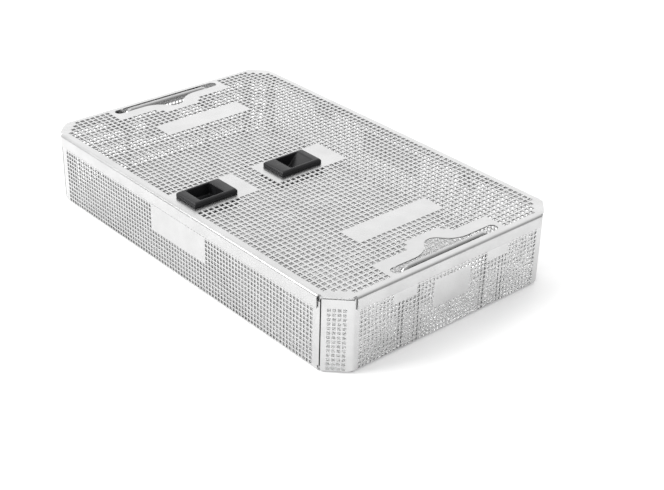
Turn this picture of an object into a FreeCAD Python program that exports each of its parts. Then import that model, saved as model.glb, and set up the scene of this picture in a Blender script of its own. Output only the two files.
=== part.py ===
"""Perforated instrument basket with a hook-in lid, a sliding bolt latch and two drop handles.

Millimetres. X runs along the basket, the front wall with the latch faces -Y, and Z is up.
The origin is on the surface that the basket stands on, under the middle of the lid.
"""

import FreeCAD
import Part

import math
import os

from FreeCAD import Vector

# Overall sizes
lid_length = 402.0
lid_width = 250.0
lid_top = 68.0
lid_corner = 19.3

# Sheet metal
lid_sheet = 1.0
wall_sheet = 1.0
bracket_sheet = 1.2
lid_bend = 1.7
wall_bend = 1.5
corner_bend = 1.0
bracket_bend = 0.8

# How the lid sits on the basket, and how the walls meet
skirt_depth = 11.7
skirt_notch = 2.8
lid_play = 0.5
rim_drop = 0.7
corner_inset = 1.0
panel_drop = 2.6
seam_gap = 0.8
bottom_lip = 1.0
foot_relief = 0.3
weld_flange = 6.0
weld_flange_end = 3.0

# Square perforation: pitch, hole side, and the least distance from a hole's centre to an edge
lid_pitch = 5.5
lid_hole = 3.85
lid_margin = 8.5
wall_pitch = 4.0
wall_hole = 2.8
side_margin = 9.0
end_margin = 7.5
panel_margin = 6.0
bottom_margin = 6.0
first_row = 4.0
rim_plain = 9.0

# Holes along each side of one window, which stands for a block of holes and is as open as they are
lid_group = 7
wall_group = 8
bottom_group = 10
least_block = 2

# Plain areas of the lid
label_length = 94.0
label_width = 22.0
label_centre = 129.25
grip_plate_width = 39.0
fixed_plate_back = 46.5
fixed_plate_front = -30.0
latch_plate_reach = 72.5
slot_plate_length = 126.0
slot_plate_depth = 27.5
bump_plate_length = 49.0
bump_plate_depth = 33.0
bump_tip_plate_length = 38.0
bump_tip_plate_depth = 38.5

# Plain areas of the walls
side_label_width = 76.0
side_label_low = 30.0
side_label_high = 54.4
end_label_width = 40.0
end_label_low = 26.0
end_label_high = 50.5
tab_low = 46.2
guide_tab_width = 24.0
guide_tab_centre = 52.0
hook_tab_width = 24.0
hook_centre = 98.0

# Slots in the lid for the handles, each with a bump for a finger
slot_length = 117.4
slot_width = 9.3
slot_inset = 11.25
bump_depth = 15.0
bump_half = 30.0
bump_tip_radius = 11.0

# Drop handles of bent wire
wire = 5.0
handle_span = 94.0
handle_bend = 6.0
handle_drop = 2.0
handle_travel = 43.4
head_radius = 3.8
head_height = 2.0
head_clearance = 0.3
head_stop_gap = 0.1

# Guides of the handles
guide_width = 13.0
guide_height = 12.0
guide_rim = 2.0
guide_clearance = 0.08

# Tongues that hook the lid into the back wall
tongue_width = 14.0
tongue_length = 8.0
tongue_bend = 0.5
tongue_side_play = 1.5
tongue_slot_above = 3.2
tongue_slot_below = 1.3

# The two grips, which share one shape
grip_width = 27.6
grip_length = 44.5
grip_height = 4.5
grip_chamfer = 1.5
grip_corner = 1.0
grip_toe = 7.5
cup_length = 25.2
cup_width = 21.0
cup_wall = 1.5
cup_floor = 1.5
cup_depth = 8.0
cup_ramp = 10.0
cup_play = 0.3
fixed_grip_back = 23.2
latch_grip_inset = 10.5
latch_travel = 4.0
slider_lift = 0.1

# Housing of the fixed grip under the lid, and the screws
housing_overlap = 2.0
housing_depth = 11.0
housing_floor = 2.0
screw_radius = 1.25
screw_head_radius = 2.3
screw_head = 1.4
screw_slot_width = 0.7
screw_slot_depth = 0.6
screw_reach = 3.0
screw_inset = 2.9
fixing_play = 0.05

# Latch bolt, its rivets, its rails and the keeper that it slides under
bolt_sheet = 2.0
bolt_width = 25.6
bolt_length = 33.5
bolt_inset = 5.0
bolt_nose_width = 16.0
bolt_nose_chamfer = 2.0
nose_gap = 0.6
rivet_radius = 1.25
rivet_head_radius = 2.2
rivet_head = 0.8
rivet_spacing = 8.0
rivet_inset = 28.5
rail_wall = 2.0
rail_side_play = 0.3
rail_floor_play = 0.2
rail_ledge = 3.0
rail_foot = 4.7
rail_inset = 2.5
rail_length = 40.0
keeper_width = 24.0
keeper_low = 44.0
keeper_lip = 6.0
keeper_play = 0.3

# Places that follow from the sizes above
half_turn_corner = math.tan(math.radians(22.5))
lid_half_x = lid_length / 2
lid_half_y = lid_width / 2
lid_under = lid_top - lid_sheet
lid_bend_outer = lid_bend + lid_sheet
lid_diagonal = lid_half_x + lid_half_y - lid_corner
skirt_low = lid_top - skirt_depth
body_diagonal = lid_diagonal - corner_inset * math.sqrt(2)
end_x = lid_half_x - lid_sheet - lid_play
front_y = lid_half_y - lid_sheet - lid_play
side_corner_x = body_diagonal - front_y
end_corner_y = body_diagonal - end_x
flange_corner_x = side_corner_x - wall_sheet * math.sqrt(2)
rim_top = lid_under - rim_drop
panel_top = lid_top - panel_drop
wall_bend_outer = wall_bend + wall_sheet
corner_bend_setback = (corner_bend + wall_sheet) * half_turn_corner
foot_reach = wall_bend_outer + bottom_lip
foot_end = foot_reach * half_turn_corner + foot_relief
bottom_half_x = end_x - foot_reach
bottom_half_y = front_y - foot_reach
bottom_diagonal = body_diagonal - foot_reach * math.sqrt(2)
wall_rows = int((rim_top - rim_plain - first_row) / wall_pitch) + 1
slot_x = lid_half_x - slot_inset
leg_y = handle_span / 2
handle_z = lid_top - handle_drop
head_low = wall_sheet + head_clearance
head_top = head_low + head_height
guide_low = head_top + handle_travel + head_stop_gap
guide_high = guide_low + guide_height
guide_bore = wire / 2 + guide_clearance
hinge_z = skirt_low - lid_sheet / 2
tongue_low = hinge_z - lid_sheet / 2
cup_half = cup_width / 2 + cup_wall
housing_low = lid_under - housing_depth
latch_grip_front = latch_grip_inset - lid_half_y
latch_plate_back = latch_plate_reach - lid_half_y
bolt_top = lid_top + slider_lift - cup_depth
bolt_low = bolt_top - bolt_sheet
bolt_shoulder = latch_grip_front + bolt_inset
bolt_back = bolt_shoulder + bolt_length
rivet_back = latch_grip_front + rivet_inset
rail_front = latch_grip_front + rail_inset
rail_web = bolt_width / 2 + rail_side_play
rail_low = bolt_low - rail_floor_play - rail_wall
keeper_high = bolt_top + keeper_play + bracket_sheet
keeper_tip = keeper_lip + wall_sheet - front_y
nose_tip = keeper_tip + nose_gap


def unit(vector):
    return Vector(vector).normalize()


def across(a, b):
    """A section drawn across the basket: first value along Y, second along Z."""
    return Vector(0, a, b)


def lengthways(a, b):
    """A section drawn along the basket: first value along X, second along Z."""
    return Vector(a, 0, b)


def flat(a, b):
    """A section drawn in plan: first value along X, second along Y."""
    return Vector(a, b, 0)


def turned(shape, degrees):
    """The shape turned about the basket's upright axis."""
    copy = shape.copy()
    copy.rotate(Vector(0, 0, 0), Vector(0, 0, 1), degrees)
    return copy


def moved(shape, x=0, y=0, z=0):
    copy = shape.copy()
    copy.translate(Vector(x, y, z))
    return copy


def mirrored_x(shape):
    return shape.mirror(Vector(0, 0, 0), Vector(1, 0, 0))


def mirrored_y(shape):
    return shape.mirror(Vector(0, 0, 0), Vector(0, 1, 0))


def joined(shapes):
    """One solid from pieces that share faces, without seams between flush faces."""
    return shapes[0].fuse(shapes[1:]).removeSplitter()


def block(x0, x1, y0, y1, z0, z1):
    return Part.makeBox(x1 - x0, y1 - y0, z1 - z0, Vector(x0, y0, z0))


def rod(x, y, z0, z1, radius):
    return Part.makeCylinder(radius, z1 - z0, Vector(x, y, z0))


def rectangle(u0, v0, u1, v1):
    return [(u0, v0), (u1, v0), (u1, v1), (u0, v1)]


def clipped(half_u, half_v, diagonal):
    """A rectangle about the middle, clipped at 45 degrees where |u| + |v| reaches the diagonal."""
    a, b = diagonal - half_v, diagonal - half_u
    return [(-a, -half_v), (a, -half_v), (half_u, -b), (half_u, b),
            (a, half_v), (-a, half_v), (-half_u, b), (-half_u, -b)]


def outline(points, place):
    """A closed wire through the corners of a flat figure."""
    corners = [place(u, v) for u, v in points]
    return Part.makePolygon(corners + corners[:1])


def pierced(wires, run):
    """A flat piece from its own outline and the outlines of its holes, pushed along run."""
    return Part.makeFace(wires, "Part::FaceMakerBullseye").extrude(run)


def prism(points, place, run):
    """A straight solid whose section is the figure through the points."""
    return Part.Face(outline(points, place)).extrude(run)


def stretch_edge(stretch, place):
    """A line through two points of a section, or an arc through three."""
    spots = [place(p.x, p.y) for p in stretch]
    return Part.makeLine(*spots) if len(spots) == 2 else Part.Arc(*spots).toShape()


def folded(points, thickness, inside_radius, place, run):
    """A folded strip of sheet: its section is drawn along one face and pushed along run.

    The metal is on the left of the drawn face. Every fold has the same inside radius, whichever
    way it turns. A section may start or end just where a fold does.
    """
    corners = [Vector(u, v, 0) for u, v in points]
    headings = [unit(b - a) for a, b in zip(corners, corners[1:])]
    lefts = [Vector(-h.y, h.x, 0) for h in headings]
    near, far = [], []
    near_at, far_at = corners[0], corners[0] + lefts[0] * thickness
    for k in range(1, len(corners) - 1):
        before, after = headings[k - 1], headings[k]
        to_metal = before.cross(after).z > 0
        reach = inside_radius + thickness if to_metal else inside_radius
        side = 1 if to_metal else -1
        setback = reach * math.tan(before.getAngle(after) / 2)
        start, end = corners[k] - before * setback, corners[k] + after * setback
        centre = start + lefts[k - 1] * (reach * side)
        outward = unit(corners[k] - centre)
        far_reach = reach - thickness * side
        far_start, far_end = start + lefts[k - 1] * thickness, end + lefts[k] * thickness
        near += [(near_at, start), (start, centre + outward * reach, end)]
        far += [(far_at, far_start), (far_start, centre + outward * far_reach, far_end)]
        near_at, far_at = end, far_end
    first_cap = (corners[0], corners[0] + lefts[0] * thickness)
    last_cap = (corners[-1], corners[-1] + lefts[-1] * thickness)
    stretches = near + [(near_at, corners[-1]), last_cap] + far + [(far_at, last_cap[1]), first_cap]
    edges = [stretch_edge(s, place) for s in stretches if (s[-1] - s[0]).Length > 1e-6]
    return Part.Face(Part.Wire(Part.__sortEdges__(edges))).extrude(run)


def divisions(count, group, marks):
    """Where a row of holes is divided into blocks: at each mark, and evenly between the marks."""
    edges = sorted({0, count} | {m for m in marks if 0 < m < count})
    starts = []
    for a, b in zip(edges, edges[1:]):
        parts = math.ceil((b - a) / group)
        starts += [a + round(k * (b - a) / parts) for k in range(parts)]
    return list(zip(starts, starts[1:] + [count]))


def area_marks(areas, first, pitch, hole, count, axis):
    """The hole numbers at which the plain areas start and end along one axis."""
    marks = set()
    for area in areas:
        inside = [k for k in range(count)
                  if area[axis] < first + k * pitch + hole / 2
                  and first + k * pitch - hole / 2 < area[axis + 2]]
        marks |= {inside[0], inside[-1] + 1} if inside else set()
    return marks


def largest_window(open_holes, columns, rows):
    """The largest rectangle of holes, all of them open, within one block."""
    best, best_area = None, 0
    for a in range(*columns):
        for b in range(a + least_block, columns[1] + 1):
            for c in range(*rows):
                for d in range(c + least_block, rows[1] + 1):
                    area = (b - a) * (d - c)
                    if area > best_area and all((i, j) in open_holes
                                                for i in range(a, b) for j in range(c, d)):
                        best, best_area = (a, b, c, d), area
    return best


def perforation(across_row, up_row, pitch, hole, group, plain, keep):
    """Windows over a lattice of square holes that leaves the plain areas whole.

    Each row is (first place, count). Each window takes the place of a block of holes, centred on
    it, and each of its sides is as long as the sides of the holes that it replaces are together,
    so that the sheet keeps its weight and its open share. Plain areas are (u0, v0, u1, v1).
    """
    u_first, u_count = across_row
    v_first, v_count = up_row

    def is_open(i, j):
        u, v = u_first + i * pitch, v_first + j * pitch
        half = hole / 2
        return keep(u, v) and not any(a[0] < u + half and u - half < a[2]
                                      and a[1] < v + half and v - half < a[3] for a in plain)

    open_holes = {(i, j) for i in range(u_count) for j in range(v_count) if is_open(i, j)}
    columns = divisions(u_count, group, area_marks(plain, u_first, pitch, hole, u_count, 0))
    rows = divisions(v_count, group, area_marks(plain, v_first, pitch, hole, v_count, 1))
    windows = []
    for column in columns:
        for row in rows:
            found = largest_window(open_holes, column, row)
            if found:
                a, b, c, d = found
                u = u_first + (a + b - 1) / 2 * pitch
                v = v_first + (c + d - 1) / 2 * pitch
                half_u, half_v = (b - a) * hole / 2, (d - c) * hole / 2
                windows.append(rectangle(u - half_u, v - half_v, u + half_u, v + half_v))
    return windows


def centred(span, pitch):
    """First place and count of a row of holes about nought, with all centres within the span."""
    count = int(span / pitch + 1e-6) + 1
    return -(count - 1) * pitch / 2, count


def everywhere(u, v):
    return True


def wall_plate(u0, u1, offset, z0, z1, windows):
    """A flat upright sheet that faces -Y, its outer face at the offset from the middle."""
    def place(u, v):
        return Vector(u, -offset, v)

    wires = [outline(rectangle(u0, z0, u1, z1), place)]
    wires += [outline(points, place) for points in windows]
    return pierced(wires, Vector(0, wall_sheet, 0))


def wall_foot(u0, u1, offset):
    """The bend and the short lip along the foot of a wall that faces -Y."""
    points = [(-offset, wall_bend_outer), (-offset, 0), (-offset + foot_reach, 0)]
    return moved(folded(points, wall_sheet, wall_bend, across, Vector(u1 - u0, 0, 0)), x=u0)


def side_wall(windows):
    """A long wall that faces -Y, with its foot and the weld flanges behind the corner panels."""
    straight = flange_corner_x - corner_bend_setback
    plate = wall_plate(-straight, straight, front_y, wall_bend_outer, rim_top, windows)
    slant = weld_flange / math.sqrt(2)
    points = [(straight, -front_y), (flange_corner_x, -front_y),
              (flange_corner_x + slant, -front_y + slant)]
    low, high = wall_bend_outer + weld_flange_end, panel_top - weld_flange_end
    flange = moved(folded(points, wall_sheet, corner_bend, flat, Vector(0, 0, high - low)), z=low)
    return joined([plate, wall_foot(-straight, straight, front_y), flange, mirrored_x(flange)])


def side_windows(plain):
    row = centred(2 * (side_corner_x - side_margin), wall_pitch)
    label = (-side_label_width / 2, side_label_low, side_label_width / 2, side_label_high)
    return perforation(row, (first_row, wall_rows), wall_pitch, wall_hole, wall_group,
                       [label] + plain, everywhere)


def front_wall():
    return side_wall(side_windows([]))


def back_wall():
    """The long wall at the back, with a slot for each tongue of the lid in a plain area."""
    tabs = [(side * hook_centre - hook_tab_width / 2, tab_low,
             side * hook_centre + hook_tab_width / 2, rim_top) for side in (-1, 1)]
    wall = mirrored_y(side_wall(side_windows(tabs)))
    half = tongue_width / 2 + tongue_side_play
    slots = [block(side * hook_centre - half, side * hook_centre + half, front_y - 2 * wall_sheet,
                   front_y + wall_sheet, hinge_z - tongue_slot_below, hinge_z + tongue_slot_above)
             for side in (-1, 1)]
    return wall.cut(slots)


def corner_panel():
    """The corner panel at the front of the right end, with its foot, and the bend to the end wall."""
    offset = body_diagonal / math.sqrt(2)
    seam = (side_corner_x - front_y) / math.sqrt(2)
    bend = (end_x - end_corner_y) / math.sqrt(2)
    first, count = centred(bend - seam - 2 * panel_margin, wall_pitch)
    row = (first + (seam + bend) / 2, count)
    windows = perforation(row, (first_row, wall_rows), wall_pitch, wall_hole, wall_group, [],
                          everywhere)
    plate = wall_plate(seam + seam_gap, bend - corner_bend_setback, offset,
                       wall_bend_outer, panel_top, windows)
    foot = wall_foot(seam + foot_end, bend - foot_end, offset)
    slant = corner_bend_setback / math.sqrt(2)
    points = [(end_x - slant, -end_corner_y - slant), (end_x, -end_corner_y),
              (end_x, -end_corner_y + corner_bend_setback)]
    height = panel_top - wall_bend_outer
    corner = folded(points, wall_sheet, corner_bend, flat, Vector(0, 0, height))
    return [turned(plate, 45), turned(foot, 45), moved(corner, z=wall_bend_outer)]


def end_wall():
    """The short wall at the right end, with both corner panels folded on."""
    straight = end_corner_y - corner_bend_setback
    foot_half = end_corner_y - foot_end
    label = (-end_label_width / 2, end_label_low, end_label_width / 2, end_label_high)
    tabs = [(side * guide_tab_centre - guide_tab_width / 2, tab_low,
             side * guide_tab_centre + guide_tab_width / 2, rim_top) for side in (-1, 1)]
    row = centred(2 * (end_corner_y - end_margin), wall_pitch)
    windows = perforation(row, (first_row, wall_rows), wall_pitch, wall_hole, wall_group,
                          [label] + tabs, everywhere)
    plate = wall_plate(-straight, straight, end_x, wall_bend_outer, rim_top, windows)
    foot = wall_foot(-foot_half, foot_half, end_x)
    panel = corner_panel()
    return joined([turned(plate, 90), turned(foot, 90)] + panel + [mirrored_y(p) for p in panel])


def bottom_sheet():
    """The flat bottom between the lips of the walls."""
    limit = bottom_diagonal - bottom_margin * math.sqrt(2)
    windows = perforation(centred(2 * (bottom_half_x - bottom_margin), lid_pitch),
                          centred(2 * (bottom_half_y - bottom_margin), lid_pitch),
                          lid_pitch, lid_hole, bottom_group, [],
                          lambda u, v: abs(u) + abs(v) <= limit)
    wires = [outline(clipped(bottom_half_x, bottom_half_y, bottom_diagonal), flat)]
    wires += [outline(points, flat) for points in windows]
    return pierced(wires, Vector(0, 0, wall_sheet))


def handle_slot(z):
    """The outline of the slot at the right end: round ends, and a bell-shaped bump for a finger.

    The bump is three arcs that run into each other and into the slot's edge.
    """
    end_radius = slot_width / 2
    inner, outer = slot_x - end_radius, slot_x + end_radius
    straight = slot_length / 2 - end_radius
    radii = (bump_depth ** 2 + bump_half ** 2) / (2 * bump_depth)
    flare = radii - bump_tip_radius
    tip = Vector(inner - bump_depth + bump_tip_radius, 0, z)
    flare_centre = Vector(inner - flare, bump_half, z)
    meeting = tip + unit(flare_centre - tip) * bump_tip_radius
    start = Vector(inner, bump_half, z)
    middle = flare_centre + unit((meeting + start) * 0.5 - flare_centre) * flare
    apex = Vector(inner - bump_depth, 0, z)

    def low(point):
        return Vector(point.x, -point.y, point.z)

    edges = [Part.makeLine(Vector(inner, straight, z), start),
             Part.Arc(start, middle, meeting).toShape(),
             Part.Arc(meeting, apex, low(meeting)).toShape(),
             Part.Arc(low(meeting), low(middle), low(start)).toShape(),
             Part.makeLine(low(start), Vector(inner, -straight, z)),
             Part.Arc(Vector(inner, -straight, z), Vector(slot_x, -slot_length / 2, z),
                      Vector(outer, -straight, z)).toShape(),
             Part.makeLine(Vector(outer, -straight, z), Vector(outer, straight, z)),
             Part.Arc(Vector(outer, straight, z), Vector(slot_x, slot_length / 2, z),
                      Vector(inner, straight, z)).toShape()]
    return Part.Wire(edges)


def lid_plain_areas():
    """The areas of the lid without holes: labels, grips and the surrounds of the handle slots."""
    half = grip_plate_width / 2
    areas = [(-half, fixed_plate_front, half, fixed_plate_back),
             (-half, -lid_half_y, half, latch_plate_back)]
    for side in (-1, 1):
        centre = side * label_centre
        areas.append((centre - label_width / 2, -label_length / 2,
                      centre + label_width / 2, label_length / 2))
        for length, depth in ((slot_plate_length, slot_plate_depth),
                              (bump_plate_length, bump_plate_depth),
                              (bump_tip_plate_length, bump_tip_plate_depth)):
            edges = sorted((side * lid_half_x, side * (lid_half_x - depth)))
            areas.append((edges[0], -length / 2, edges[1], length / 2))
    return areas


def lid_skirt(half_length, offset):
    """The bend and the skirt along one side of the lid, on the side that faces -Y."""
    points = [(-offset + lid_bend_outer, lid_top), (-offset, lid_top), (-offset, skirt_low)]
    strip = folded(points, lid_sheet, lid_bend, across, Vector(2 * half_length, 0, 0))
    return moved(strip, x=-half_length)


def lid_tongue(x):
    """A tongue folded inward from the foot of the back skirt."""
    points = [(-lid_half_y, skirt_low + lid_sheet + tongue_bend), (-lid_half_y, tongue_low),
              (-lid_half_y + tongue_length, tongue_low)]
    strip = folded(points, lid_sheet, tongue_bend, across, Vector(tongue_width, 0, 0))
    return mirrored_y(moved(strip, x=x - tongue_width / 2))


def fixing_spots():
    """Places along Y of the two screws of the fixed grip."""
    back = fixed_grip_back - screw_inset
    front = fixed_grip_back - grip_length + screw_inset
    return [back, front]


def cup_window(toe, facing, play, travel):
    """Cut-out for a cup, in plan. The toe is the grip's end that faces the given way along Y."""
    near = toe - facing * (grip_toe - cup_wall - play - travel)
    far = toe - facing * (grip_toe + cup_length + cup_wall + play)
    return rectangle(-cup_half - play, min(near, far), cup_half + play, max(near, far))


def lid_sheet_solid():
    """The lid: perforated sheet with folded skirts, handle slots, grip cut-outs and two tongues."""
    limit = lid_diagonal - lid_margin * math.sqrt(2)
    windows = perforation(centred(lid_length - 2 * lid_margin, lid_pitch),
                          centred(lid_width - 2 * lid_margin, lid_pitch),
                          lid_pitch, lid_hole, lid_group, lid_plain_areas(),
                          lambda u, v: abs(u) + abs(v) <= limit)
    windows += [cup_window(fixed_grip_back, 1, cup_play, 0),
                cup_window(latch_grip_front, -1, cup_play, latch_travel)]

    def place(u, v):
        return Vector(u, v, lid_under)

    slot = handle_slot(lid_under)
    wires = [outline(clipped(lid_half_x - lid_bend_outer, lid_half_y - lid_bend_outer,
                             lid_diagonal), place)]
    wires += [outline(points, place) for points in windows]
    wires += [slot, mirrored_x(slot)]
    wires += [Part.Wire(Part.makeCircle(screw_radius + fixing_play, place(0, y)))
              for y in fixing_spots()]
    plate = pierced(wires, Vector(0, 0, lid_sheet))
    front = lid_skirt(lid_half_x - lid_corner - skirt_notch, lid_half_y)
    side = lid_skirt(lid_half_y - lid_corner - skirt_notch, lid_half_x)
    right = turned(side, 90)
    tongues = [lid_tongue(hook_centre), lid_tongue(-hook_centre)]
    return joined([plate, front, mirrored_y(front), right, mirrored_x(right)] + tongues)


def grip_solid():
    """A grip with its toe at y = 0, its heel towards +Y, and the underside of its flange at z = 0.

    The cup below the flange takes a fingertip, and its toe end is a ramp.
    """
    half, corner = grip_width / 2, grip_corner
    centre = grip_length / 2

    def ring(inset, z):
        u, v = half - inset, centre - inset
        diagonal = u + v - corner
        return outline(clipped(u, v, diagonal), lambda a, b: Vector(a, b + centre, z))

    straight = grip_height - grip_chamfer
    lower = Part.Face(ring(0, 0)).extrude(Vector(0, 0, straight))
    upper = Part.makeLoft([ring(0, straight), ring(grip_chamfer, grip_height)], True, True)
    low = -cup_depth
    cup = block(-cup_half, cup_half, grip_toe - cup_wall, grip_toe + cup_length + cup_wall,
                low, straight / 2)
    floor = low + cup_floor
    slope = cup_ramp / (grip_height - floor)
    above = grip_height + 1
    hollow = prism([(grip_toe - slope, above), (grip_toe + cup_ramp, floor),
                    (grip_toe + cup_length, floor), (grip_toe + cup_length, above)],
                   across, Vector(cup_width, 0, 0))
    return joined([lower, upper, cup]).cut(moved(hollow, x=-cup_width / 2))


def fixed_grip():
    """The grip in the middle of the lid, with its toe at the back and two blind screw holes."""
    grip = moved(mirrored_y(grip_solid()), y=fixed_grip_back, z=lid_top)
    holes = [rod(0, y, lid_top - 1, lid_top + screw_reach + fixing_play, screw_radius + fixing_play)
             for y in fixing_spots()]
    return grip.cut(holes)


def fixed_grip_housing():
    """The housing under the lid that the fixed grip is screwed to, with a pocket for its cup."""
    half = grip_width / 2
    front = fixed_grip_back - grip_length - housing_overlap
    body = block(-half, half, front, fixed_grip_back + housing_overlap, housing_low, lid_under)
    pocket = prism(cup_window(fixed_grip_back, 1, cup_play, 0), flat, Vector(0, 0, housing_depth))
    holes = [rod(0, y, housing_low, lid_under, screw_radius + fixing_play)
             for y in fixing_spots()]
    return body.cut([moved(pocket, z=housing_low + housing_floor)] + holes)


def fixed_grip_screws():
    """Two screws from below, through the housing and the lid and into the fixed grip."""
    low = housing_low - screw_head
    screws = []
    for y in fixing_spots():
        screw = joined([rod(0, y, low, housing_low, screw_head_radius),
                        rod(0, y, housing_low - screw_head / 2, lid_top + screw_reach,
                            screw_radius)])
        slot = block(-screw_head_radius, screw_head_radius, y - screw_slot_width / 2,
                     y + screw_slot_width / 2, low - 1, low + screw_slot_depth)
        screws.append(screw.cut(slot))
    return Part.makeCompound(screws)


def rivet_spots():
    """Places along Y of the two rivets of the latch."""
    return [rivet_back, rivet_back - rivet_spacing]


def latch_grip():
    """The sliding grip, with its toe at the front and two rivet holes in the floor of its cup."""
    grip = moved(grip_solid(), y=latch_grip_front, z=lid_top + slider_lift)
    holes = [rod(0, y, bolt_low, bolt_top + cup_floor + 1, rivet_radius + fixing_play)
             for y in rivet_spots()]
    return grip.cut(holes)


def latch_bolt():
    """The flat bolt under the sliding grip, with a narrow nose that goes under the keeper."""
    half, nose, cut = bolt_width / 2, bolt_nose_width / 2, bolt_nose_chamfer
    points = [(-half, bolt_back), (-half, bolt_shoulder), (-nose, bolt_shoulder),
              (-nose, nose_tip + cut), (-nose + cut, nose_tip), (nose - cut, nose_tip),
              (nose, nose_tip + cut), (nose, bolt_shoulder), (half, bolt_shoulder),
              (half, bolt_back)]
    wires = [outline(points, flat)]
    wires += [Part.Wire(Part.makeCircle(rivet_radius + fixing_play, Vector(0, y, 0)))
              for y in rivet_spots()]
    return moved(pierced(wires, Vector(0, 0, bolt_sheet)), z=bolt_low)


def latch_rivets():
    """Two rivets that hold the bolt to the floor of the sliding grip's cup, flush with the floor."""
    return Part.makeCompound([
        joined([rod(0, y, bolt_low - rivet_head / 2, bolt_top + cup_floor, rivet_radius),
                rod(0, y, bolt_low - rivet_head, bolt_low, rivet_head_radius)])
        for y in rivet_spots()])


def latch_rail():
    """The right rail: a foot bonded under the lid, a web, and a ledge under the bolt's edge."""
    web_outer = rail_web + rail_wall
    foot_under = lid_under - rail_wall
    points = [(rail_web - rail_ledge, rail_low), (web_outer, rail_low),
              (web_outer, foot_under), (web_outer + rail_foot, foot_under),
              (web_outer + rail_foot, lid_under), (rail_web, lid_under),
              (rail_web, rail_low + rail_wall), (rail_web - rail_ledge, rail_low + rail_wall)]
    return moved(prism(points, lengthways, Vector(0, rail_length, 0)), y=rail_front)


def keeper():
    """The bracket welded inside the front wall, with the lip that holds the bolt down."""
    inside = wall_sheet - front_y
    points = [(keeper_tip, keeper_high), (inside, keeper_high), (inside, keeper_low)]
    strip = folded(points, bracket_sheet, bracket_bend, across, Vector(keeper_width, 0, 0))
    return moved(strip, x=-keeper_width / 2)


def handle_guide():
    """The guide of the front leg at the right end: two lips round the leg, on a plate on the wall."""
    inside = end_x - wall_sheet
    tip = slot_x - guide_bore - guide_rim
    points = [(tip, guide_low), (inside, guide_low), (inside, guide_high), (tip, guide_high)]
    clip = folded(points, bracket_sheet, bracket_bend, lengthways, Vector(0, guide_width, 0))
    clip = moved(clip, y=-leg_y - guide_width / 2)
    return clip.cut(rod(slot_x, -leg_y, guide_low - 1, guide_high + 1, guide_bore))


def handle():
    """The handle at the right end: bent wire with two legs, each with a head that stops it."""
    r = handle_bend
    diagonal = r * (1 - math.cos(math.radians(45)))
    leg_low = (head_low + head_top) / 2

    def at(y, z):
        return Vector(slot_x, y, z)

    half = [Part.makeLine(at(leg_y, leg_low), at(leg_y, handle_z - r)),
            Part.Arc(at(leg_y, handle_z - r), at(leg_y - diagonal, handle_z - diagonal),
                     at(leg_y - r, handle_z)).toShape()]
    bar = Part.makeLine(at(leg_y - r, handle_z), at(-leg_y + r, handle_z))
    other = [mirrored_y(edge) for edge in half]
    path = Part.Wire(Part.__sortEdges__(half + [bar] + other))
    ring = Part.Wire(Part.makeCircle(wire / 2, at(leg_y, leg_low), Vector(0, 0, 1)))
    bent = path.makePipeShell([ring], True, False)
    heads = [rod(slot_x, y, head_low, head_top, head_radius) for y in (-leg_y, leg_y)]
    return joined([bent] + heads)


def opposite(shape):
    """The same piece at the left end."""
    return mirrored_x(shape)


def build():
    guide = handle_guide()
    rail = latch_rail()
    right_end = end_wall()
    right_handle = handle()
    return {
        "bottom_sheet": bottom_sheet(),
        "front_wall": front_wall(),
        "back_wall": back_wall(),
        "right_end_wall": right_end,
        "left_end_wall": opposite(right_end),
        "guide_right_front": guide,
        "guide_right_back": mirrored_y(guide),
        "guide_left_front": opposite(guide),
        "guide_left_back": opposite(mirrored_y(guide)),
        "latch_keeper": keeper(),
        "lid_sheet": lid_sheet_solid(),
        "fixed_grip": fixed_grip(),
        "fixed_grip_housing": fixed_grip_housing(),
        "fixed_grip_screws": fixed_grip_screws(),
        "latch_rail_right": rail,
        "latch_rail_left": opposite(rail),
        "latch_grip": latch_grip(),
        "latch_bolt": latch_bolt(),
        "latch_rivets": latch_rivets(),
        "handle_right": right_handle,
        "handle_left": opposite(right_handle),
    }


os.makedirs("parts", exist_ok=True)
for name, shape in build().items():
    shape.exportStep(os.path.join("parts", name + ".step"))
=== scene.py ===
"""Looks of the perforated basket: its sheets with every hole, its wire handles, grips and finishes.

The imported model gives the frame. New pieces are surfaces worked out with numpy in millimetres,
and they are written to meshes in metres, in the places of the nodes that they stand for.
"""

import math

import bpy
import numpy as np
from mathutils import Matrix, Vector


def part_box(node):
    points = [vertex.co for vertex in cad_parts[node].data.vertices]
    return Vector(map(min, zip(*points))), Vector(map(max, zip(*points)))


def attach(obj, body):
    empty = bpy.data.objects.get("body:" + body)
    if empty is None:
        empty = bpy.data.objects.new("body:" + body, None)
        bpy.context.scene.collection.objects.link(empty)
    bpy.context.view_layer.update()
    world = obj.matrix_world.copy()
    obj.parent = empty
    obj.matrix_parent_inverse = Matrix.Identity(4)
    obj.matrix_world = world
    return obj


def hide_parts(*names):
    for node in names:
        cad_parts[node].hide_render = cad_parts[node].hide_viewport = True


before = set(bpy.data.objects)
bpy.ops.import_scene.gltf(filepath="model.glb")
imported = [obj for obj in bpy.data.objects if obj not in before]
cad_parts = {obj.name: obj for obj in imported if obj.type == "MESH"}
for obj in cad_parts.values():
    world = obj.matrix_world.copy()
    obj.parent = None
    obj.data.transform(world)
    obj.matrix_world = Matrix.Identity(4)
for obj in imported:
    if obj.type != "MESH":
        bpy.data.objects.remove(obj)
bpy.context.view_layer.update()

bl_info = {
    "name": "Perforated Basket",
    "version": (1, 0, 0),
    "blender": (4, 5, 0),
    "location": "3D View > Sidebar > Basket",
    "description": "Makes the sheets, handles, grips, finishes and studio of a perforated basket",
    "category": "Add Mesh",
}

MM = 0.001
QUARTER = math.pi / 2
SLANT = math.sqrt(0.5)

# Slack in millimetres: grid lines that count as one, cells that lie on a clip line, and rounding
SAME_LINE = 0.01
ON_CLIP = 0.02
ROUNDING = 1e-6

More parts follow.
